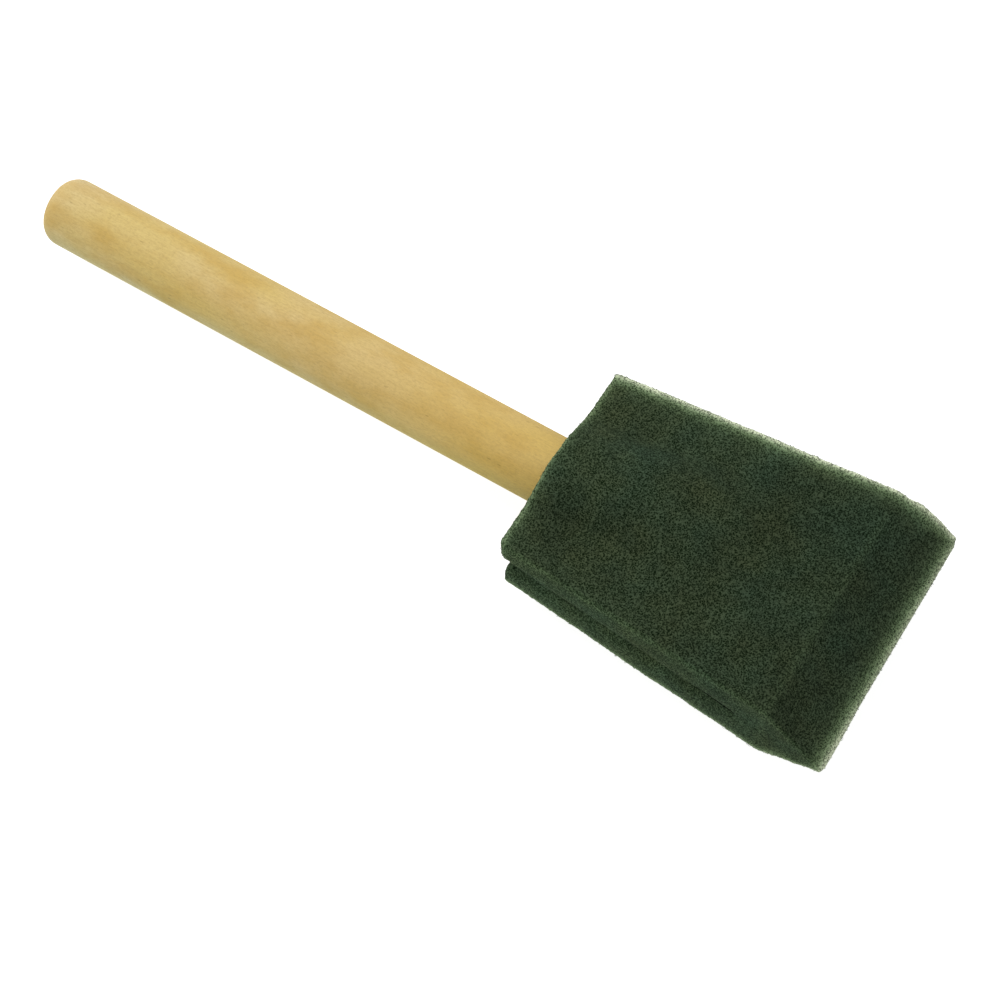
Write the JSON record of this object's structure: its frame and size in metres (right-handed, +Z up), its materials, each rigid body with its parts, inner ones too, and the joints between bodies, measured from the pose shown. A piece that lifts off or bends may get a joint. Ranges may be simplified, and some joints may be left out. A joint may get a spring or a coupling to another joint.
{
  "type": "foam sponge brush",
  "caption": "Chisel-tipped foam brush: a foam head slit round a flexible tongue and glued to a round-ended wooden dowel handle.",
  "frame": {"origin": "on the dowel's axis, in the plane of the foam's mouth", "axes": "+X along the handle towards the chisel tip, +Y across the foam's width, +Z up through the foam's thickness"},
  "size_m": [0.1726, 0.05, 0.0234],
  "materials": {
    "birch": "bare sanded birch with fine straight grain",
    "foam": "matt open-cell polyurethane foam, dark green-grey",
    "tongue_plastic": "natural polypropylene, satin",
    "hot_melt": "cloudy amber hot-melt adhesive"
  },
  "bodies": {
    "root": {"handle": "birch", "tongue": "tongue_plastic", "foam_head": "foam", "slot_glue": "hot_melt", "socket_glue": "hot_melt", "glue_upper": "hot_melt", "glue_lower": "hot_melt", "seam_glue_left": "hot_melt", "seam_glue_right": "hot_melt"}
  },
  "joints": []
}
